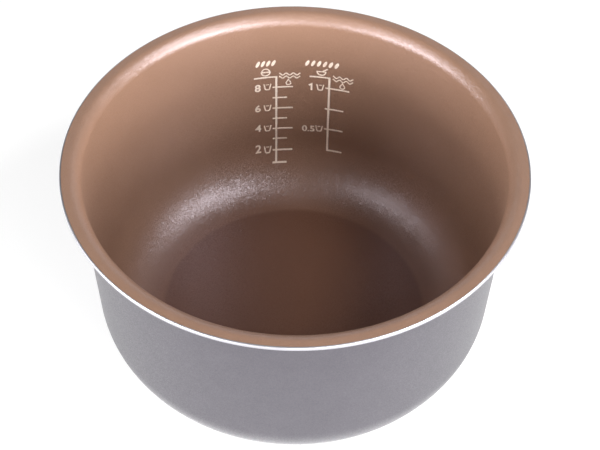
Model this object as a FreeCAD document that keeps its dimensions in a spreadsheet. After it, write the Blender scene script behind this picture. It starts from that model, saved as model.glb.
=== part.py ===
import FreeCAD, Part
import math
import os
import Sketcher

# Removable inner pot of a rice cooker: a drawn aluminium shell with a rolled-out lip and a bare
# turned edge, a non-stick lining, an outer coat, and two level scales printed inside.
# Millimetres. The origin is the centre of the base, +Z is up, and the scales are on the +Y wall.

# Driving sizes: alias, value, meaning.
SIZES = (
    ("mouth_diameter", 218.0, "inside width where the wall meets the lip"),
    ("pot_height", 124.5, "base to the top of the flange"),
    ("corner_radius", 35.4, "outside radius between base and wall"),
    ("wall_draft", 2.1, "outward lean of the wall in degrees"),
    ("lip_radius", 7.0, "inside radius of the lip's roll"),
    ("flange_flat", 4.0, "flat of the flange from the roll to the edge"),
    ("shell_wall", 1.4, "thickness of the drawn metal"),
    ("lining_film", 0.3, "thickness of the non-stick lining"),
    ("coat_film", 0.3, "thickness of the outer coat"),
    ("edge_round", 0.9, "radius turned on the top of the bare edge"),
    ("edge_break", 0.3, "radius turned under the bare edge"),
    ("coat_start", 14.0, "angle up the corner where the outer coat begins, in degrees"),
    ("ink_film", 0.3, "thickness of the printed scales"),
    ("spine_width", 1.2, "width of a scale's upright line"),
    ("mark_width", 1.0, "width of a scale's level marks"),
    ("mark_back", 2.2, "reach of a level mark behind the upright line"),
    ("head_gap", 7.9, "top level mark to the bar at the head of a scale"),
    ("rice_spine_x", -12.45, "place of the rice scale's upright line"),
    ("rice_low_height", 17.2, "height of the lowest rice mark"),
    ("rice_two_height", 24.5, "height of the two-cup rice mark"),
    ("rice_step", 8.2, "rise from one cup to the next"),
    ("rice_long_reach", 9.8, "reach of the even cup marks"),
    ("rice_short_reach", 6.4, "reach of the odd cup marks"),
    ("rice_head_reach", 13.0, "reach of the rice scale's head bar"),
    ("porridge_spine_x", 18.55, "place of the porridge scale's upright line"),
    ("porridge_low_height", 25.5, "height of the lowest porridge mark"),
    ("porridge_step", 16.2, "rise from one porridge mark to the next"),
    ("porridge_long_reach", 11.8, "reach of the full porridge mark"),
    ("porridge_short_reach", 8.9, "reach of the other porridge marks"),
    ("porridge_head_reach", 11.6, "reach of the porridge scale's head bar"),
)
TWO_CUPS = 2
EIGHT_CUPS = 8
PORRIDGE_MARKS = 4

# Worked out from the sizes. The wall's faces share the centres of the corner and the lip.
DRAFT = "(Sizes.wall_draft * 1 deg)"
WALL = "(Sizes.lining_film + Sizes.shell_wall + Sizes.coat_film)"
LIP_X = f"(Sizes.mouth_diameter / 2 + Sizes.lip_radius * cos({DRAFT}))"
LIP_Z = "(Sizes.pot_height - Sizes.lip_radius)"
CORNER_Z = "Sizes.corner_radius"
CENTRES_APART = f"(Sizes.lip_radius + Sizes.corner_radius - {WALL})"
CORNER_X = f"({LIP_X} - ({CENTRES_APART} + ({LIP_Z} - {CORNER_Z}) * sin({DRAFT})) / cos({DRAFT}))"
RIM_X = f"({LIP_X} + Sizes.flange_flat)"
LINING_END = f"({RIM_X} - Sizes.edge_round)"
COAT_END = f"({RIM_X} - Sizes.edge_break)"
STRAIGHT_DOWN = "(-90 * 1 deg)"
COAT_START = f"({STRAIGHT_DOWN} + Sizes.coat_start * 1 deg)"

# Depths of the layers' faces, counted outwards from the lining's own face.
INK_FACE = "(-Sizes.ink_film)"
LINING_FACE = "0"
SHELL_INSIDE = "Sizes.lining_film"
SHELL_OUTSIDE = "(Sizes.lining_film + Sizes.shell_wall)"
COAT_FACE = WALL

# A sketch's own elements and the points of its curves, by the sketcher's numbers.
WHOLE_CURVE, START, END, CENTRE = range(4)
ORIGIN = (-1, START)
UPRIGHT_AXIS = -2

doc = FreeCAD.newDocument("inner_pot")
sheet = doc.addObject("Spreadsheet::Sheet", "Sizes")
for row, (alias, value, meaning) in enumerate(SIZES, start=1):
    sheet.set(f"A{row}", meaning)
    sheet.set(f"B{row}", str(value))
    sheet.setAlias(f"B{row}", alias)
doc.recompute()


def number(expression):
    """The present value of an expression on the sheet, to draw a sketch before it is bound."""
    return float(sheet.evalExpression(expression))


def radians(expression):
    return math.radians(number(expression))


def point(x, z):
    return FreeCAD.Vector(x, z, 0)


def turned_body(name):
    """A body with an empty profile sketch on its upright plane."""
    body = doc.addObject("PartDesign::Body", name)
    sketch = body.newObject("Sketcher::SketchObject", f"{name}_profile")
    planes = [plane for plane in body.Origin.OriginFeatures if plane.Role == "XZ_Plane"]
    sketch.AttachmentSupport = (planes[0], [""])
    sketch.MapMode = "FlatFace"
    return body, sketch


def revolve(body, sketch):
    """Turn a closed profile about the pot's axis."""
    turn = body.newObject("PartDesign::Revolution", f"{body.Name}_turned")
    turn.Profile = sketch
    turn.ReferenceAxis = (sketch, ["V_Axis"])
    turn.Angle = 360.0
    body.Label = body.Name
    return body


def constrain(sketch, *terms):
    return sketch.addConstraint(Sketcher.Constraint(*terms))


def drive(sketch, kind, *terms):
    """Add a sized constraint whose last term is an expression on the sheet."""
    *where, expression = terms
    index = constrain(sketch, kind, *where, number(expression))
    sketch.setExpression(f"Constraints[{index}]", expression)


def place_point(sketch, curve, end, x, z):
    """Fix a point of a curve at expressions for its radius and its height."""
    drive(sketch, "DistanceX", *ORIGIN, curve, end, x)
    drive(sketch, "DistanceY", *ORIGIN, curve, end, z)


def add_line(sketch, start, end):
    return sketch.addGeometry(Part.LineSegment(point(*start), point(*end)), False)


def add_arc(sketch, centre, radius, first_angle, last_angle):
    circle = Part.Circle(point(*centre), FreeCAD.Vector(0, 0, 1), radius)
    return sketch.addGeometry(Part.ArcOfCircle(circle, first_angle, last_angle), False)


def end_of(sketch, curve, end):
    where = sketch.getPoint(curve, end)
    return where.x, where.y


def join(sketch, first, first_end, second, second_end):
    """A line from one curve's end to another's, tied to both."""
    line = add_line(sketch, end_of(sketch, first, first_end), end_of(sketch, second, second_end))
    constrain(sketch, "Coincident", line, START, first, first_end)
    constrain(sketch, "Coincident", line, END, second, second_end)
    return line


def add_corner(sketch, depth, first_angle, last_angle):
    """A stretch of the corner's face at a depth, between two angles."""
    radius = f"(Sizes.corner_radius - {WALL} + {depth})"
    centre = (number(CORNER_X), number(CORNER_Z))
    corner = add_arc(sketch, centre, number(radius), radians(first_angle), radians(last_angle))
    drive(sketch, "Radius", corner, radius)
    place_point(sketch, corner, CENTRE, CORNER_X, CORNER_Z)
    return corner


def add_floor(sketch, corner):
    """A flat from the axis to the foot of a corner."""
    foot = end_of(sketch, corner, START)
    floor = add_line(sketch, (0, foot[1]), foot)
    constrain(sketch, "Tangent", floor, END, corner, START)
    constrain(sketch, "Horizontal", floor)
    constrain(sketch, "PointOnObject", floor, START, UPRIGHT_AXIS)
    return floor


def add_wall(sketch, depth, flange_end, corner_from=STRAIGHT_DOWN):
    """Draw the wall's face at a depth: corner, wall, lip and flange, smooth all the way.

    The corner's start and the flange's end are left for the profile to fix.
    """
    radius = f"(Sizes.lip_radius - {depth})"
    corner = add_corner(sketch, depth, corner_from, f"(-{DRAFT})")
    lip_centre = (number(LIP_X), number(LIP_Z))
    lip = add_arc(sketch, lip_centre, number(radius), math.pi / 2, math.pi - radians(DRAFT))
    wall = add_line(sketch, end_of(sketch, corner, END), end_of(sketch, lip, END))
    lip_top = end_of(sketch, lip, START)
    flange = add_line(sketch, lip_top, (number(flange_end), lip_top[1]))
    constrain(sketch, "Tangent", corner, END, wall, START)
    constrain(sketch, "Tangent", wall, END, lip, END)
    constrain(sketch, "Tangent", lip, START, flange, START)
    constrain(sketch, "Horizontal", flange)
    drive(sketch, "Radius", lip, radius)
    place_point(sketch, lip, CENTRE, LIP_X, LIP_Z)
    return corner, flange


def add_coat_step(sketch, inner_corner, outer_corner, outer_end):
    """The square step where the outer coat begins, in line with the corner's centre."""
    step = join(sketch, inner_corner, START, outer_corner, outer_end)
    constrain(sketch, "PointOnObject", inner_corner, CENTRE, step)
    index = constrain(sketch, "Angle", step, radians(COAT_START))
    sketch.setExpression(f"Constraints[{index}]", COAT_START)


def end_flange(sketch, upper_flange, under_flange, flange_end):
    """Close a film square at the end of the flange."""
    end_line = join(sketch, upper_flange, END, under_flange, END)
    constrain(sketch, "Vertical", end_line)
    drive(sketch, "DistanceX", *ORIGIN, upper_flange, END, flange_end)


def inside_film(name, near_depth, far_depth):
    """A film over the whole inside, from the middle of the floor out to the bare edge."""
    body, sketch = turned_body(name)
    near_corner, near_flange = add_wall(sketch, near_depth, LINING_END)
    far_corner, far_flange = add_wall(sketch, far_depth, LINING_END)
    near_floor = add_floor(sketch, near_corner)
    far_floor = add_floor(sketch, far_corner)
    join(sketch, near_floor, START, far_floor, START)
    end_flange(sketch, near_flange, far_flange, LINING_END)
    return revolve(body, sketch)


def outer_coat():
    """The coat outside, from low on the corner to the bare edge under the flange."""
    body, sketch = turned_body("outer_coat")
    inner_corner, inner_flange = add_wall(sketch, SHELL_OUTSIDE, COAT_END, COAT_START)
    outer_corner, outer_flange = add_wall(sketch, COAT_FACE, COAT_END, COAT_START)
    add_coat_step(sketch, inner_corner, outer_corner, START)
    end_flange(sketch, inner_flange, outer_flange, COAT_END)
    return revolve(body, sketch)


def add_bare_edge(sketch, top_flange, under_flange):
    """The turned edge: it stands flush with the coats, with a round above and a small one below."""
    round_z = "(Sizes.pot_height - Sizes.edge_round)"
    break_z = f"(Sizes.pot_height - {WALL} + Sizes.edge_break)"
    top_centre = (number(LINING_END), number(round_z))
    foot_centre = (number(COAT_END), number(break_z))
    top = add_arc(sketch, top_centre, number("Sizes.edge_round"), 0, math.pi / 2)
    foot = add_arc(sketch, foot_centre, number("Sizes.edge_break"), -math.pi / 2, 0)
    land = add_line(sketch, end_of(sketch, top, START), end_of(sketch, foot, END))
    constrain(sketch, "Tangent", land, START, top, START)
    constrain(sketch, "Tangent", land, END, foot, END)
    constrain(sketch, "Vertical", land)
    drive(sketch, "DistanceX", *ORIGIN, land, START, RIM_X)
    for arc, arc_end, radius, centre_z, flange in (
        (top, END, "Sizes.edge_round", round_z, top_flange),
        (foot, START, "Sizes.edge_break", break_z, under_flange),
    ):
        drive(sketch, "Radius", arc, radius)
        drive(sketch, "DistanceY", *ORIGIN, arc, CENTRE, centre_z)
        constrain(sketch, "Vertical", arc, CENTRE, arc, arc_end)
        coat_step = join(sketch, flange, END, arc, arc_end)
        constrain(sketch, "Vertical", coat_step)


def pot_shell():
    """The drawn metal, whose bare base stands flush with the outer coat around it."""
    body, sketch = turned_body("pot_shell")
    inner_corner, top_flange = add_wall(sketch, SHELL_INSIDE, LINING_END)
    outer_corner, under_flange = add_wall(sketch, SHELL_OUTSIDE, COAT_END, COAT_START)
    base_corner = add_corner(sketch, COAT_FACE, STRAIGHT_DOWN, COAT_START)
    floor = add_floor(sketch, inner_corner)
    base = add_floor(sketch, base_corner)
    join(sketch, floor, START, base, START)
    add_coat_step(sketch, outer_corner, base_corner, END)
    add_bare_edge(sketch, top_flange, under_flange)
    return revolve(body, sketch)


def add_bar(name, left, right, middle_z, width):
    """One upright or level bar of a scale, as a block that runs from the axis out past the wall."""
    bar = doc.addObject("Part::Box", name)
    bar.setExpression("Length", f"{right} - {left}")
    bar.setExpression("Width", RIM_X)
    bar.setExpression("Height", width)
    bar.setExpression("Placement.Base.x", left)
    bar.setExpression("Placement.Base.z", f"{middle_z} - {width} / 2")
    return bar


def level_scale(name, ink, spine_x, head_reach, marks):
    """A printed scale: the ink film kept only on the scale's bars.

    Each mark is its height, its reach behind the upright line and its reach in front of it,
    from the lowest mark to the highest.
    """
    low_z = marks[0][0]
    head_z = f"({marks[-1][0]} + Sizes.head_gap)"
    half_spine = "(Sizes.spine_width / 2)"
    spine_right = f"({spine_x} + {half_spine})"
    bars = [
        add_bar(f"{name}_head", f"({spine_x} - {head_reach})", spine_right, head_z, "Sizes.mark_width"),
        add_bar(
            f"{name}_spine",
            f"({spine_x} - {half_spine})",
            spine_right,
            f"(({low_z} + {head_z}) / 2)",
            f"({head_z} - {low_z} + Sizes.mark_width)",
        ),
    ]
    for index, (height, back, reach) in enumerate(marks):
        left = f"({spine_x} - {back})"
        right = f"({spine_x} + {reach})"
        bars.append(add_bar(f"{name}_mark_{index}", left, right, height, "Sizes.mark_width"))
    pattern = doc.addObject("Part::MultiFuse", f"{name}_pattern")
    pattern.Shapes = bars
    scale = doc.addObject("Part::Common", name)
    scale.Base = ink
    scale.Tool = pattern
    scale.Label = name
    return scale


def rice_marks():
    marks = [("Sizes.rice_low_height", "Sizes.mark_back", "Sizes.rice_short_reach")]
    for cups in range(TWO_CUPS, EIGHT_CUPS + 1):
        height = f"(Sizes.rice_two_height + {cups - TWO_CUPS} * Sizes.rice_step)"
        reach = "Sizes.rice_long_reach" if cups % 2 == 0 else "Sizes.rice_short_reach"
        marks.append((height, "Sizes.mark_back", reach))
    return marks


def porridge_marks():
    marks = []
    for step in range(PORRIDGE_MARKS):
        height = f"(Sizes.porridge_low_height + {step} * Sizes.porridge_step)"
        back = "(Sizes.spine_width / 2)" if step == 0 else "Sizes.mark_back"
        is_full = step == PORRIDGE_MARKS - 1
        reach = "Sizes.porridge_long_reach" if is_full else "Sizes.porridge_short_reach"
        marks.append((height, back, reach))
    return marks


ink = inside_film("ink_film_blank", INK_FACE, LINING_FACE)
pieces = [
    pot_shell(),
    inside_film("nonstick_lining", LINING_FACE, SHELL_INSIDE),
    outer_coat(),
    level_scale("rice_level_scale", ink, "Sizes.rice_spine_x", "Sizes.rice_head_reach", rice_marks()),
    level_scale(
        "porridge_level_scale",
        ink,
        "Sizes.porridge_spine_x",
        "Sizes.porridge_head_reach",
        porridge_marks(),
    ),
]
doc.recompute()

for item in doc.Objects:
    if "Invalid" in item.State or "Error" in item.State:
        raise RuntimeError(f"{item.Name} failed: {item.State}")
for piece in pieces:
    if piece.Shape.isNull() or not piece.Shape.isValid():
        raise RuntimeError(f"{piece.Label} has no sound shape")

os.makedirs("parts", exist_ok=True)
for piece in pieces:
    piece.Shape.exportStep(f"parts/{piece.Label}.step")
    print(piece.Label, len(piece.Shape.Solids), "solid", round(piece.Shape.Volume, 1), "mm3")
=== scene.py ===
import math
import bmesh
import bpy
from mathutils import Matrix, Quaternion, Vector


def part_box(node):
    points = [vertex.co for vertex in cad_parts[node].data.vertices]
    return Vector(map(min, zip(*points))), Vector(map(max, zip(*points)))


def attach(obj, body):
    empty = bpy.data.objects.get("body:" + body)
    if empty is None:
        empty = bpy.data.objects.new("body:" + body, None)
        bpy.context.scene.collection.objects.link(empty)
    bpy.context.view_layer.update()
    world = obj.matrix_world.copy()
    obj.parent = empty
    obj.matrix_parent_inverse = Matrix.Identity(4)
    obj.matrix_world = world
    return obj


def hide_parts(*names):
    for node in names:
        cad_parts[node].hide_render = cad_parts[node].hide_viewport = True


# Inner pot of a rice cooker: bare turned metal, bronze non-stick lining, satin grey outer coat and
# two printed level scales. Everything is in metres, with sizes written in millimetres times MM.
MM = 0.001
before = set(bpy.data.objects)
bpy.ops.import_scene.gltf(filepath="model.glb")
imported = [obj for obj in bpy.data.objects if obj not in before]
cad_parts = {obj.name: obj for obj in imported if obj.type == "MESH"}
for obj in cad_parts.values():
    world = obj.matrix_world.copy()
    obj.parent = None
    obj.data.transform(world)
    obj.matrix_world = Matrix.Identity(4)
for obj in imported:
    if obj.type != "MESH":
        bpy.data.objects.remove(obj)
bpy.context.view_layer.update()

# The turned profile, which the lining, the metal and the coat share.
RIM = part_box("pot_shell")[1].x
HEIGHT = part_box("pot_shell")[1].z
FLANGE_FLAT = 4.0 * MM
LIP_RADIUS = 7.0 * MM
CORNER_RADIUS = 35.4 * MM
WALL_DRAFT = math.radians(2.1)
WALL = 2.0 * MM
FILM = 0.3 * MM
EDGE_ROUND = 0.9 * MM
EDGE_BREAK = 0.3 * MM
COAT_START = math.radians(14.0)
STRAIGHT_DOWN = -math.pi / 2

LIP_R = RIM - FLANGE_FLAT
LIP_Z = HEIGHT - LIP_RADIUS
CORNER_Z = CORNER_RADIUS
CENTRES_APART = LIP_RADIUS + CORNER_RADIUS - WALL
WALL_RUN = CENTRES_APART + (LIP_Z - CORNER_Z) * math.sin(WALL_DRAFT)
CORNER_R = LIP_R - WALL_RUN / math.cos(WALL_DRAFT)
LINING_END = RIM - EDGE_ROUND
COAT_END = RIM - EDGE_BREAK

# Fineness of the turned meshes.
TURN_STEPS = 256
CORNER_STEPS = 28
LIP_STEPS = 18
WALL_STEPS = 14
FLOOR_STEPS = 8
EDGE_STEPS = 6
SHARP_ANGLE = math.radians(35.0)

# The ink: a film that is sunk a little into the lining, cut along a grid so that it bends.
INK_FILM = 0.06 * MM
INK_SUNK = 0.03 * MM
INK_GRID = 1.0

# The printed scales, in millimetres on the wall: x across, z up.
SPINE_WIDTH = 1.2
MARK_WIDTH = 1.0
MARK_BACK = 2.2
HEAD_GAP = 7.9

RICE_SPINE = -12.45
RICE_TWO_CUPS = 24.5
RICE_CUP = 8.2
RICE_MOST_CUPS = 8
RICE_LOWEST = 17.2
RICE_HEAD = 13.0
RICE_LONG = 9.8
RICE_SHORT = 6.4

PORRIDGE_SPINE = 18.55
PORRIDGE_LOWEST = 25.5
PORRIDGE_STEP = 16.2
PORRIDGE_MARKS = 4
PORRIDGE_HEAD = 11.6
PORRIDGE_LONG = 11.8
PORRIDGE_SHORT = 8.9

# Numbers and signs beside the scales. A lift is measured from the mark.
RICE_NUMBER_X = -23.3
RICE_NUMBER_HEIGHT = 5.4
RICE_NUMBER_LIFT = 0.3
RICE_LIFT_PER_CUP = 0.22
RICE_CUP_SIGN_X = -17.65
RICE_CUP_SIGN_LIFT = 0.65
RICE_DROP = (-5.35, 77.4)
RICE_BOWL = (-18.6, 85.6)
RICE_GRAINS = (-18.6, 92.1)
RICE_GRAIN_COUNT = 4
RICE_GRAIN_PITCH = 3.0
RICE_WAVES = (-4.6, 82.3)
RICE_WAVES_WIDTH = 12.4

PORRIDGE_ONE_X = 7.9
PORRIDGE_ONE_LIFT = -0.1
PORRIDGE_HALF_X = 6.8
PORRIDGE_HALF_LIFT = -0.9
PORRIDGE_HALF_HEIGHT = 4.8
PORRIDGE_CUP_SIGN_X = 13.3
PORRIDGE_ONE_CUP_LIFT = 0.1
PORRIDGE_HALF_CUP_LIFT = -0.2
PORRIDGE_DROP = (26.15, 77.4)
PORRIDGE_BOWL = (13.8, 86.2)
PORRIDGE_SPOON = [(14.6, 86.6), (17.4, 88.6)]
PORRIDGE_GRAINS = (14.0, 92.0)
PORRIDGE_GRAIN_COUNT = 6
PORRIDGE_GRAIN_PITCH = 3.4
PORRIDGE_WAVES = (26.4, 82.2)
PORRIDGE_WAVES_WIDTH = 11.8

# How numbers and signs are drawn.
LINE_WIDTH = 0.75
CUP_LEVEL_LINE = LINE_WIDTH * 0.7
DROP_LINE = LINE_WIDTH * 0.85
HEAP_LINE = LINE_WIDTH * 0.9
WAVE_LINE = LINE_WIDTH * 0.9
NUMERAL_LINE = LINE_WIDTH * 1.4
MITRE_LIMIT = 0.4
ELLIPSE_STEPS = 20
NUMERAL_STEPS = 6
NUMERAL_WEIGHT = 0.022
GRAIN_HALF_WIDTH = 0.95
GRAIN_HALF_HEIGHT = 2.3
GRAIN_LEAN = -24.0
WAVE_CRESTS = 3
WAVE_STEPS = 12
WAVE_RISE = 0.75
WAVE_ROW = 1.15

# Colours. Those with a dark and a light end drift between the two.
LINING_DARK = (0.260, 0.146, 0.093)
LINING_LIGHT = (0.276, 0.156, 0.101)
LINING_SHEEN = (0.96, 0.88, 0.97, 1.0)
COAT_DARK = (0.130, 0.121, 0.142)
COAT_LIGHT = (0.142, 0.132, 0.154)
INK_DARK = (0.81, 0.68, 0.58)
INK_LIGHT = (0.88, 0.75, 0.65)
METAL = (0.56, 0.55, 0.59, 1.0)
WHITE = (1.0, 1.0, 1.0, 1.0)
DRIFT_FROM = 0.3
DRIFT_TO = 0.7

# Painted shade on the lining: its colour is darkest on its flat floor, a step lighter at the corner's
# foot, and its own colour from the top of the corner. The floor's edge is a share of the way across the
# corner.
FLOOR_PAINTED_SHADE = (0.37, 0.25, 0.14)
CORNER_PAINTED_SHADE = (0.57, 0.49, 0.42)
FLOOR_EDGE = 0.11

# The photograph's camera.
CAMERA_PLACE = Vector((0.00288, -0.50479, 0.64884))
CAMERA_AIM = Vector((0.00288, 0.0, 0.07296))
CAMERA_ROLL = math.radians(1.0)
LENS = 85.414
SENSOR = 36.0

# The studio: a floor that is lifted to white where it is seen, a faint sky, and softboxes on a ball
# round the pot: name, azimuth and elevation in degrees, width and height in metres, power in watts.
STUDIO_FLOOR = (0.40, 0.40, 0.40, 1.0)
STUDIO_FLOOR_LIFT = 0.65
STUDIO_FLOOR_RADIUS = 40.0
STUDIO_FLOOR_SIDES = 96
SKY_STRENGTH = 0.02
LIGHT_AIM = Vector((0.0, 0.0, 0.06))
LIGHT_DISTANCE = 1.5
STRIP = (1.5, 0.32)
WIDE_BOX = (1.2, 0.44)
SMALL_BOX = (0.4, 0.3)
SOFTBOXES = (
    ("right_low_softbox", 50.0, 8.0, STRIP, 23.5),
    ("left_low_softbox", 308.0, 8.0, STRIP, 22.5),
    ("right_softbox", 50.0, 21.0, WIDE_BOX, 16.5),
    ("left_softbox", 300.0, 19.0, WIDE_BOX, 12.5),
    ("front_softbox", 20.0, 18.0, WIDE_BOX, 11.5),
    ("back_softbox", 175.0, 25.0, STRIP, 3.0),
    ("right_high_softbox", 71.0, 53.0, SMALL_BOX, 12.5),
    ("left_high_softbox", 288.0, 49.0, SMALL_BOX, 5.0),
)


# Outlines of the turned layers.
def arc(centre, radius, first, last, steps):
    """Points (radius from the axis, height) along an arc of the profile."""
    points = []
    for step in range(steps + 1):
        angle = first + (last - first) * step / steps
        points.append((centre[0] + radius * math.cos(angle), centre[1] + radius * math.sin(angle)))
    return points


def between(first, last, steps):
    """The points inside a straight stretch, without its ends."""
    points = []
    for step in range(1, steps):
        share = step / steps
        points.append(tuple(a + (b - a) * share for a, b in zip(first, last)))
    return points


def wall_face(depth, flange_end, corner_from=STRAIGHT_DOWN):
    """The pot's face at a depth behind the lining's own: corner, wall, lip and flange."""
    corner_radius = CORNER_RADIUS - WALL + depth
    corner = arc((CORNER_R, CORNER_Z), corner_radius, corner_from, -WALL_DRAFT, CORNER_STEPS)
    lip_from = math.pi - WALL_DRAFT
    lip = arc((LIP_R, LIP_Z), LIP_RADIUS - depth, lip_from, math.pi / 2, LIP_STEPS)
    return corner + between(corner[-1], lip[0], WALL_STEPS) + lip + [(flange_end, lip[-1][1])]


def floor_face(foot):
    """The flat from the axis to the foot of a corner, without the foot itself."""
    axis = (0.0, foot[1])
    return [axis] + between(axis, foot, FLOOR_STEPS)


def lining_outline():
    face = wall_face(0.0, LINING_END)
    back = wall_face(FILM, LINING_END)
    return floor_face(face[0]) + face + back[::-1] + floor_face(back[0])[::-1]


def coat_outline():
    corner_from = STRAIGHT_DOWN + COAT_START
    inner = wall_face(WALL - FILM, COAT_END, corner_from)
    outer = wall_face(WALL, COAT_END, corner_from)
    return inner + outer[::-1]


def shell_outline():
    """The metal, with its bare edge and bare base flush with the coats."""
    corner_from = STRAIGHT_DOWN + COAT_START
    inside = wall_face(FILM, LINING_END)
    outside = wall_face(WALL - FILM, COAT_END, corner_from)
    under = HEIGHT - WALL
    top_round = arc((LINING_END, HEIGHT - EDGE_ROUND), EDGE_ROUND, math.pi / 2, 0.0, EDGE_STEPS)
    foot_round = arc((COAT_END, under + EDGE_BREAK), EDGE_BREAK, 0.0, STRAIGHT_DOWN, EDGE_STEPS)
    base = arc((CORNER_R, CORNER_Z), CORNER_RADIUS, corner_from, STRAIGHT_DOWN, EDGE_STEPS)
    outline = floor_face(inside[0]) + inside + top_round + foot_round
    return outline + outside[::-1] + base + floor_face(base[-1])[::-1]


# Pieces.
def finish_mesh(name, bm):
    mesh = bpy.data.meshes.new(name)
    bm.to_mesh(mesh)
    bm.free()
    mesh.shade_smooth()
    mesh.set_sharp_from_angle(angle=SHARP_ANGLE)
    piece = bpy.data.objects.new(name, mesh)
    bpy.context.scene.collection.objects.link(piece)
    return piece


def lathe(name, outline):
    """Turn an outline about the axis: one that starts and ends on the axis, or a closed loop."""
    bm = bmesh.new()
    turn = [2 * math.pi * step / TURN_STEPS for step in range(TURN_STEPS)]
    rings = []
    for radius, height in outline:
        if radius == 0.0:
            rings.append([bm.verts.new((0.0, 0.0, height))])
        else:
            ring = [(radius * math.cos(a), radius * math.sin(a), height) for a in turn]
            rings.append([bm.verts.new(place) for place in ring])
    is_loop = outline[0][0] > 0.0
    next_rings = rings[1:] + rings[:1] if is_loop else rings[1:]
    for lower, upper in zip(rings, next_rings):
        for step in range(TURN_STEPS):
            corners = [lower[step % len(lower)], lower[(step + 1) % len(lower)]]
            corners += [upper[(step + 1) % len(upper)], upper[step % len(upper)]]
            bm.faces.new(list(dict.fromkeys(corners)))
    bmesh.ops.recalc_face_normals(bm, faces=bm.faces[:])
    return finish_mesh(name, bm)


def dress(piece, material, slot, *nodes):
    """Give a piece its material, its body and the solids that it stands for."""
    piece.data.materials.append(material)
    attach(piece, "root")
    if nodes:
        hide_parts(*nodes)


# Shapes of the print, drawn flat in x and z before they are laid on the wall.
def add_polygon(bm, points):
    bm.faces.new([bm.verts.new((x, 0.0, z)) for x, z in points])


def add_bar(bm, left, right, low, high):
    add_polygon(bm, [(left, low), (right, low), (right, high), (left, high)])


def add_stroke(bm, points, width=LINE_WIDTH, closed=False):
    """A line of even width through points, with mitred corners."""
    count = len(points)
    rails = []
    for index, (x, z) in enumerate(points):
        before = points[index - 1] if closed or index > 0 else points[index]
        after = points[(index + 1) % count] if closed or index < count - 1 else points[index]
        into = Vector((x - before[0], z - before[1]))
        out = Vector((after[0] - x, after[1] - z))
        into = into.normalized() if into.length else out.normalized()
        out = out.normalized() if out.length else into
        along = (into + out).normalized()
        side = Vector((-along.y, along.x)) * (width / 2 / max(MITRE_LIMIT, along.dot(into)))
        rails.append(((x + side.x, z + side.y), (x - side.x, z - side.y)))
    ends = rails + rails[:1] if closed else rails
    for (left, right), (next_left, next_right) in zip(ends, ends[1:]):
        add_polygon(bm, [left, right, next_right, next_left])


def ellipse(x, z, half_width, half_height, first=0.0, last=360.0, tilt=0.0):
    """Points on a stretch of an ellipse, with its angles in degrees."""
    cos_tilt, sin_tilt = math.cos(math.radians(tilt)), math.sin(math.radians(tilt))
    points = []
    for step in range(ELLIPSE_STEPS + 1):
        angle = math.radians(first + (last - first) * step / ELLIPSE_STEPS)
        u, v = half_width * math.cos(angle), half_height * math.sin(angle)
        points.append((x + u * cos_tilt - v * sin_tilt, z + u * sin_tilt + v * cos_tilt))
    return points


def add_number(bm, text, middle_x, middle_z, height):
    """Plain numerals of a given height, from the built-in font."""
    curve = bpy.data.curves.new("numerals", "FONT")
    curve.body = text
    curve.resolution_u = NUMERAL_STEPS
    curve.offset = NUMERAL_WEIGHT
    maker = bpy.data.objects.new("numerals", curve)
    mesh = bpy.data.meshes.new_from_object(maker)
    xs = [v.co.x for v in mesh.vertices]
    ys = [v.co.y for v in mesh.vertices]
    scale = height / (max(ys) - min(ys))
    centre_x, centre_y = (min(xs) + max(xs)) / 2, (min(ys) + max(ys)) / 2
    for polygon in mesh.polygons:
        corners = [mesh.vertices[i].co for i in polygon.vertices]
        add_polygon(bm, [
            (middle_x + (c.x - centre_x) * scale, middle_z + (c.y - centre_y) * scale) for c in corners
        ])
    bpy.data.objects.remove(maker)
    bpy.data.curves.remove(curve)
    bpy.data.meshes.remove(mesh)


def add_one(bm, x, z):
    """A numeral 1 with a flag."""
    stem, top, foot = 0.3, 2.2, -2.5
    flag, flag_low = -1.3, 1.3
    add_stroke(bm, [(x + flag, z + flag_low), (x + stem, z + top), (x + stem, z + foot)], NUMERAL_LINE)


def add_cup(bm, x, z):
    """A measuring cup, open at the top, with a line for its content."""
    mouth, belly, foot = (2.0, 2.2), (1.25, -1.7), (0.75, -2.1)
    left = [(x - half, z + rise) for half, rise in (mouth, belly, foot)]
    right = [(x + half, z + rise) for half, rise in (foot, belly, mouth)]
    add_stroke(bm, left + right)
    level, level_half = z + 1.6, 0.9
    add_stroke(bm, [(x - level_half, level), (x + level_half, level)], CUP_LEVEL_LINE)


def add_drop(bm, x, z):
    """A drop of water: a round foot drawn out to a point."""
    radius, foot, point = 1.35, z - 0.75, z + 2.0
    round_foot = ellipse(x, foot, radius, radius, 150.0, 390.0)
    add_stroke(bm, round_foot + [(x, point)], DROP_LINE, closed=True)


def add_bowl(bm, x, z, heap):
    """A bowl seen from the side, with a heap or a level filling."""
    bowl_half, bowl_deep, brim_half = 2.5, 2.6, 2.9
    heap_half, heap_high = 2.3, 2.5
    add_stroke(bm, ellipse(x, z, bowl_half, bowl_deep, 180.0, 360.0))
    add_stroke(bm, [(x - brim_half, z), (x + brim_half, z)])
    if heap:
        add_stroke(bm, ellipse(x, z, heap_half, heap_high, 0.0, 180.0), HEAP_LINE)


def add_grains(bm, x, z, count, pitch):
    """A row of grains that lean to the right."""
    for index in range(count):
        middle = x + (index - (count - 1) / 2) * pitch
        grain = ellipse(middle, z, GRAIN_HALF_WIDTH, GRAIN_HALF_HEIGHT, tilt=GRAIN_LEAN)
        add_polygon(bm, grain[:-1])


def add_waves(bm, x, z, width):
    """Two rows of waves."""
    steps = WAVE_CRESTS * WAVE_STEPS
    for row in (-1, 1):
        points = []
        for step in range(steps + 1):
            share = step / steps
            height = z + row * WAVE_ROW + WAVE_RISE * math.cos(2 * math.pi * WAVE_CRESTS * share)
            points.append((x + (share - 0.5) * width, height))
        add_stroke(bm, points, WAVE_LINE)


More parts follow.
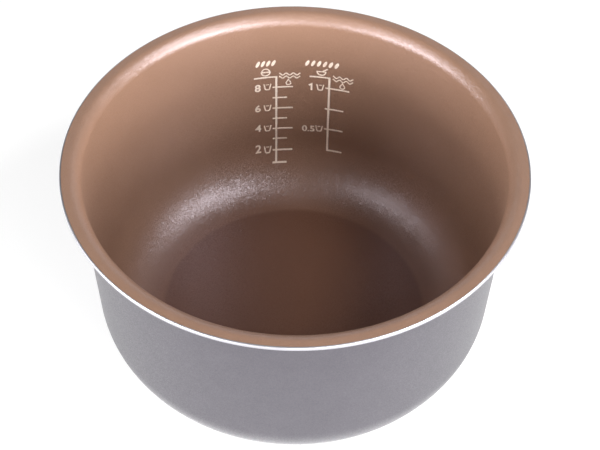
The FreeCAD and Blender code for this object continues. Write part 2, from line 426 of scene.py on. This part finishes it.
def add_scale(bm, spine, head_reach, marks):
    """The upright line, the bar at its head and its level marks: (height, back, reach)."""
    half_spine, half_mark = SPINE_WIDTH / 2, MARK_WIDTH / 2
    head = marks[-1][0] + HEAD_GAP
    add_bar(bm, spine - half_spine, spine + half_spine, marks[0][0] - half_mark, head + half_mark)
    add_bar(bm, spine - head_reach, spine - half_spine, head - half_mark, head + half_mark)
    for height, back, reach in marks:
        low, high = height - half_mark, height + half_mark
        add_bar(bm, spine + half_spine, spine + reach, low, high)
        if back > half_spine:
            add_bar(bm, spine - back, spine - half_spine, low, high)


# Laying the print on the wall.
def wall_radius(height, depth):
    """Radius of the pot's face at a height."""
    radius = CORNER_RADIUS - WALL + depth
    if height < CORNER_Z - radius * math.sin(WALL_DRAFT):
        return CORNER_R + math.sqrt(radius ** 2 - (CORNER_Z - height) ** 2)
    return CORNER_R + radius / math.cos(WALL_DRAFT) + (height - CORNER_Z) * math.tan(WALL_DRAFT)


def lay_on_wall(vert, depth):
    x, z = vert.co.x * MM, vert.co.z * MM
    vert.co = (x, math.sqrt(wall_radius(z, depth) ** 2 - x ** 2), z)


def cut_along_grid(bm):
    """Split flat shapes into small faces, so that they bend with the wall."""
    for axis in (Vector((1, 0, 0)), Vector((0, 0, 1))):
        places = [v.co.dot(axis) for v in bm.verts]
        for line in range(math.ceil(min(places) / INK_GRID), math.floor(max(places) / INK_GRID) + 1):
            everything = bm.verts[:] + bm.edges[:] + bm.faces[:]
            bmesh.ops.bisect_plane(bm, geom=everything, plane_co=axis * line * INK_GRID, plane_no=axis)


def print_on_wall(name, bm, ink, *nodes):
    """Turn flat shapes into a thin film of ink on the far wall."""
    cut_along_grid(bm)
    backs = bm.verts[:]
    raised = bmesh.ops.extrude_face_region(bm, geom=bm.faces[:], use_keep_orig=True)
    fronts = [item for item in raised["geom"] if isinstance(item, bmesh.types.BMVert)]
    for vert in backs:
        lay_on_wall(vert, INK_SUNK)
    for vert in fronts:
        lay_on_wall(vert, -INK_FILM)
    bmesh.ops.recalc_face_normals(bm, faces=bm.faces[:])
    dress(finish_mesh(name, bm), ink, "cream_ink", *nodes)


def rice_height(cups):
    return RICE_TWO_CUPS + (cups - 2) * RICE_CUP


def porridge_height(step):
    return PORRIDGE_LOWEST + step * PORRIDGE_STEP


def print_rice_scale(ink):
    bars = bmesh.new()
    marks = [(RICE_LOWEST, MARK_BACK, RICE_SHORT)]
    for cups in range(2, RICE_MOST_CUPS + 1):
        marks.append((rice_height(cups), MARK_BACK, RICE_LONG if cups % 2 == 0 else RICE_SHORT))
    add_scale(bars, RICE_SPINE, RICE_HEAD, marks)
    print_on_wall("rice_scale_lines", bars, ink, "rice_level_scale")

    numbers = bmesh.new()
    signs = bmesh.new()
    for cups in range(RICE_MOST_CUPS, 0, -2):
        lift = RICE_NUMBER_LIFT + RICE_LIFT_PER_CUP * (RICE_MOST_CUPS - cups)
        add_number(numbers, str(cups), RICE_NUMBER_X, rice_height(cups) + lift, RICE_NUMBER_HEIGHT)
        add_cup(signs, RICE_CUP_SIGN_X, rice_height(cups) + RICE_CUP_SIGN_LIFT)
    add_drop(signs, *RICE_DROP)
    add_bowl(signs, *RICE_BOWL, heap=True)
    add_grains(signs, *RICE_GRAINS, RICE_GRAIN_COUNT, RICE_GRAIN_PITCH)
    add_waves(signs, *RICE_WAVES, RICE_WAVES_WIDTH)
    print_on_wall("rice_scale_numbers", numbers, ink)
    print_on_wall("rice_scale_signs", signs, ink)


def print_porridge_scale(ink):
    lowest, half, one = 0, 1, PORRIDGE_MARKS - 1
    bars = bmesh.new()
    marks = []
    for step in range(PORRIDGE_MARKS):
        back = 0.0 if step == lowest else MARK_BACK
        marks.append((porridge_height(step), back, PORRIDGE_LONG if step == one else PORRIDGE_SHORT))
    add_scale(bars, PORRIDGE_SPINE, PORRIDGE_HEAD, marks)
    print_on_wall("porridge_scale_lines", bars, ink, "porridge_level_scale")

    numbers = bmesh.new()
    add_one(numbers, PORRIDGE_ONE_X, porridge_height(one) + PORRIDGE_ONE_LIFT)
    half_number_z = porridge_height(half) + PORRIDGE_HALF_LIFT
    add_number(numbers, "0.5", PORRIDGE_HALF_X, half_number_z, PORRIDGE_HALF_HEIGHT)
    print_on_wall("porridge_scale_numbers", numbers, ink)

    signs = bmesh.new()
    add_cup(signs, PORRIDGE_CUP_SIGN_X, porridge_height(one) + PORRIDGE_ONE_CUP_LIFT)
    add_cup(signs, PORRIDGE_CUP_SIGN_X, porridge_height(half) + PORRIDGE_HALF_CUP_LIFT)
    add_drop(signs, *PORRIDGE_DROP)
    add_bowl(signs, *PORRIDGE_BOWL, heap=False)
    add_stroke(signs, PORRIDGE_SPOON)
    add_grains(signs, *PORRIDGE_GRAINS, PORRIDGE_GRAIN_COUNT, PORRIDGE_GRAIN_PITCH)
    add_waves(signs, *PORRIDGE_WAVES, PORRIDGE_WAVES_WIDTH)
    print_on_wall("porridge_scale_signs", signs, ink)


# Materials.
def new_material(name):
    material = bpy.data.materials.new(name)
    material.use_nodes = True
    tree = material.node_tree
    return material, tree, tree.nodes["Principled BSDF"]


def add_node(tree, kind, **settings):
    node = tree.nodes.new(kind)
    for key, value in settings.items():
        setattr(node, key, value)
    return node


def set_inputs(node, **values):
    for key, value in values.items():
        node.inputs[key.replace("_", " ")].default_value = value


def place_of(tree):
    """The part's own coordinates, in metres."""
    return add_node(tree, "ShaderNodeTexCoord").outputs["Object"]


def place_parts(tree):
    """The part's own coordinates one by one: X, Y and Z."""
    separate = add_node(tree, "ShaderNodeSeparateXYZ")
    tree.links.new(place_of(tree), separate.inputs["Vector"])
    return separate.outputs


def turning_radius(tree):
    """The distance from the pot's axis."""
    parts = place_parts(tree)
    flat = add_node(tree, "ShaderNodeCombineXYZ")
    tree.links.new(parts["X"], flat.inputs["X"])
    tree.links.new(parts["Y"], flat.inputs["Y"])
    reach = add_node(tree, "ShaderNodeVectorMath", operation="LENGTH")
    tree.links.new(flat.outputs["Vector"], reach.inputs[0])
    return reach.outputs["Value"]


def flake_normal(tree, cells_per_metre, tilt):
    """A normal that leans a little another way in each flake of a metallic coat."""
    flakes = add_node(tree, "ShaderNodeTexVoronoi")
    set_inputs(flakes, Scale=cells_per_metre, Randomness=1.0)
    tree.links.new(place_of(tree), flakes.inputs["Vector"])
    lean = add_node(tree, "ShaderNodeVectorMath", operation="SUBTRACT")
    lean.inputs[1].default_value = (0.5, 0.5, 0.5)
    tree.links.new(flakes.outputs["Color"], lean.inputs[0])
    weak = add_node(tree, "ShaderNodeVectorMath", operation="SCALE")
    set_inputs(weak, Scale=tilt)
    tree.links.new(lean.outputs["Vector"], weak.inputs[0])
    geometry = add_node(tree, "ShaderNodeNewGeometry")
    total = add_node(tree, "ShaderNodeVectorMath", operation="ADD")
    tree.links.new(geometry.outputs["Normal"], total.inputs[0])
    tree.links.new(weak.outputs["Vector"], total.inputs[1])
    unit = add_node(tree, "ShaderNodeVectorMath", operation="NORMALIZE")
    tree.links.new(total.outputs["Vector"], unit.inputs[0])
    return unit.outputs["Vector"]


def mottled(tree, dark, light, scale, detail=4.0):
    """A colour that drifts between two near ones."""
    noise = add_node(tree, "ShaderNodeTexNoise")
    set_inputs(noise, Scale=scale, Detail=detail, Roughness=0.6)
    tree.links.new(place_of(tree), noise.inputs["Vector"])
    ramp = add_node(tree, "ShaderNodeValToRGB")
    for element, position, colour in zip(ramp.color_ramp.elements, (DRIFT_FROM, DRIFT_TO), (dark, light)):
        element.position = position
        element.color = (*colour, 1.0)
    tree.links.new(noise.outputs["Fac"], ramp.inputs["Fac"])
    return ramp.outputs["Color"]


def lining_tint(tree):
    """Painted shade that the lining's colour is multiplied by, from the flat floor to the top of the
    corner.
    """
    across = add_node(tree, "ShaderNodeMapRange")
    set_inputs(across, From_Min=CORNER_R, From_Max=CORNER_R + CORNER_RADIUS - WALL)
    tree.links.new(turning_radius(tree), across.inputs["Value"])
    ramp = add_node(tree, "ShaderNodeValToRGB")
    ramp.color_ramp.interpolation = "EASE"
    ramp.color_ramp.elements[0].color = (*FLOOR_PAINTED_SHADE, 1.0)
    ramp.color_ramp.elements.new(FLOOR_EDGE).color = (*CORNER_PAINTED_SHADE, 1.0)
    tree.links.new(across.outputs["Result"], ramp.inputs["Fac"])
    return ramp.outputs["Color"]


def bronze_nonstick():
    """The lining: a satin brown coat with pearl flakes, with painted shade on its floor and corner."""
    material, tree, shader = new_material("bronze_nonstick")
    # The lining's colour is darkened by painted shade on its floor and lower corner.
    shade = add_node(tree, "ShaderNodeMixRGB", blend_type="MULTIPLY")
    set_inputs(shade, Fac=1.0)
    tree.links.new(mottled(tree, LINING_DARK, LINING_LIGHT, scale=60.0), shade.inputs["Color1"])
    tree.links.new(lining_tint(tree), shade.inputs["Color2"])
    tree.links.new(shade.outputs["Color"], shader.inputs["Base Color"])
    tree.links.new(flake_normal(tree, cells_per_metre=2800.0, tilt=0.28), shader.inputs["Normal"])
    set_inputs(shader, Roughness=0.40, IOR=2.15, Specular_Tint=LINING_SHEEN)
    return material


def grey_coat():
    """The outside: a satin grey coat with metal flakes."""
    material, tree, shader = new_material("grey_coat")
    tree.links.new(mottled(tree, COAT_DARK, COAT_LIGHT, scale=80.0), shader.inputs["Base Color"])
    tree.links.new(flake_normal(tree, cells_per_metre=2200.0, tilt=0.12), shader.inputs["Normal"])
    set_inputs(shader, Metallic=1.0, Roughness=0.42, Sheen_Weight=0.32, Sheen_Roughness=0.4)
    return material


def turned_aluminium():
    """Bare metal with fine grooves round the axis."""
    material, tree, shader = new_material("turned_aluminium")
    along = add_node(tree, "ShaderNodeMath", operation="ADD")
    tree.links.new(turning_radius(tree), along.inputs[0])
    tree.links.new(place_parts(tree)["Z"], along.inputs[1])
    grooves = add_node(tree, "ShaderNodeTexNoise", noise_dimensions="1D")
    set_inputs(grooves, Scale=2600.0, Detail=2.0)
    tree.links.new(along.outputs["Value"], grooves.inputs["W"])
    bump = add_node(tree, "ShaderNodeBump")
    set_inputs(bump, Strength=0.25, Distance=0.05 * MM)
    tree.links.new(grooves.outputs["Fac"], bump.inputs["Height"])
    tree.links.new(bump.outputs["Normal"], shader.inputs["Normal"])
    shine = add_node(tree, "ShaderNodeMapRange")
    set_inputs(shine, To_Min=0.36, To_Max=0.50)
    tree.links.new(grooves.outputs["Fac"], shine.inputs["Value"])
    tree.links.new(shine.outputs["Result"], shader.inputs["Roughness"])
    set_inputs(shader, Base_Color=METAL, Metallic=1.0)
    return material


def cream_ink():
    material, tree, shader = new_material("cream_ink")
    colour = mottled(tree, INK_DARK, INK_LIGHT, scale=900.0, detail=2.0)
    tree.links.new(colour, shader.inputs["Base Color"])
    set_inputs(shader, Roughness=0.5, IOR=1.45)
    return material


def white_floor():
    """White to the camera and in reflections, and shaded by the pot all the same."""
    material, tree, shader = new_material("white_floor")
    set_inputs(shader, Base_Color=STUDIO_FLOOR, Roughness=0.9, Emission_Color=WHITE)
    path = add_node(tree, "ShaderNodeLightPath")
    seen = path.outputs["Is Camera Ray"]
    for ray in ("Is Glossy Ray", "Is Transmission Ray"):
        either = add_node(tree, "ShaderNodeMath", operation="MAXIMUM")
        tree.links.new(seen, either.inputs[0])
        tree.links.new(path.outputs[ray], either.inputs[1])
        seen = either.outputs["Value"]
    lift = add_node(tree, "ShaderNodeMath", operation="MULTIPLY")
    tree.links.new(seen, lift.inputs[0])
    lift.inputs[1].default_value = STUDIO_FLOOR_LIFT
    tree.links.new(lift.outputs["Value"], shader.inputs["Emission Strength"])
    return material


# The studio.
def add_floor():
    bm = bmesh.new()
    bmesh.ops.create_circle(bm, cap_ends=True, segments=STUDIO_FLOOR_SIDES, radius=STUDIO_FLOOR_RADIUS)
    floor = finish_mesh("floor", bm)
    floor.data.materials.append(white_floor())


def add_softbox(name, azimuth, elevation, size, power):
    """A soft light that faces the pot. Azimuth 0 is the camera's side, and 90 is +X."""
    turn, rise = math.radians(azimuth), math.radians(elevation)
    back = Vector((math.sin(turn) * math.cos(rise), -math.cos(turn) * math.cos(rise), math.sin(rise)))
    lamp = bpy.data.lights.new(name, "AREA")
    lamp.shape = "RECTANGLE"
    lamp.size, lamp.size_y = size
    lamp.energy = power
    holder = bpy.data.objects.new(name, lamp)
    holder.location = LIGHT_AIM + back * LIGHT_DISTANCE
    holder.rotation_mode = "QUATERNION"
    holder.rotation_quaternion = (-back).to_track_quat("-Z", "Y")
    bpy.context.scene.collection.objects.link(holder)


def add_world():
    world = bpy.data.worlds.new("studio")
    world.use_nodes = True
    set_inputs(world.node_tree.nodes["Background"], Color=WHITE, Strength=SKY_STRENGTH)
    bpy.context.scene.world = world


def add_camera():
    data = bpy.data.cameras.new("camera")
    data.lens = LENS
    data.sensor_width = SENSOR
    camera = bpy.data.objects.new("camera", data)
    camera.location = CAMERA_PLACE
    camera.rotation_mode = "QUATERNION"
    looking = (CAMERA_AIM - CAMERA_PLACE).to_track_quat("-Z", "Y")
    camera.rotation_quaternion = looking @ Quaternion((0.0, 0.0, 1.0), CAMERA_ROLL)
    bpy.context.scene.collection.objects.link(camera)
    bpy.context.scene.camera = camera


dress(lathe("shell_metal", shell_outline()), turned_aluminium(), "bare_aluminium", "pot_shell")
dress(lathe("lining_film", lining_outline()), bronze_nonstick(), "bronze_nonstick", "nonstick_lining")
dress(lathe("outer_film", coat_outline()), grey_coat(), "grey_coat", "outer_coat")
ink = cream_ink()
print_rice_scale(ink)
print_porridge_scale(ink)

add_floor()
for softbox in SOFTBOXES:
    add_softbox(*softbox)
add_world()
add_camera()
bpy.context.scene.view_settings.view_transform = "Standard"
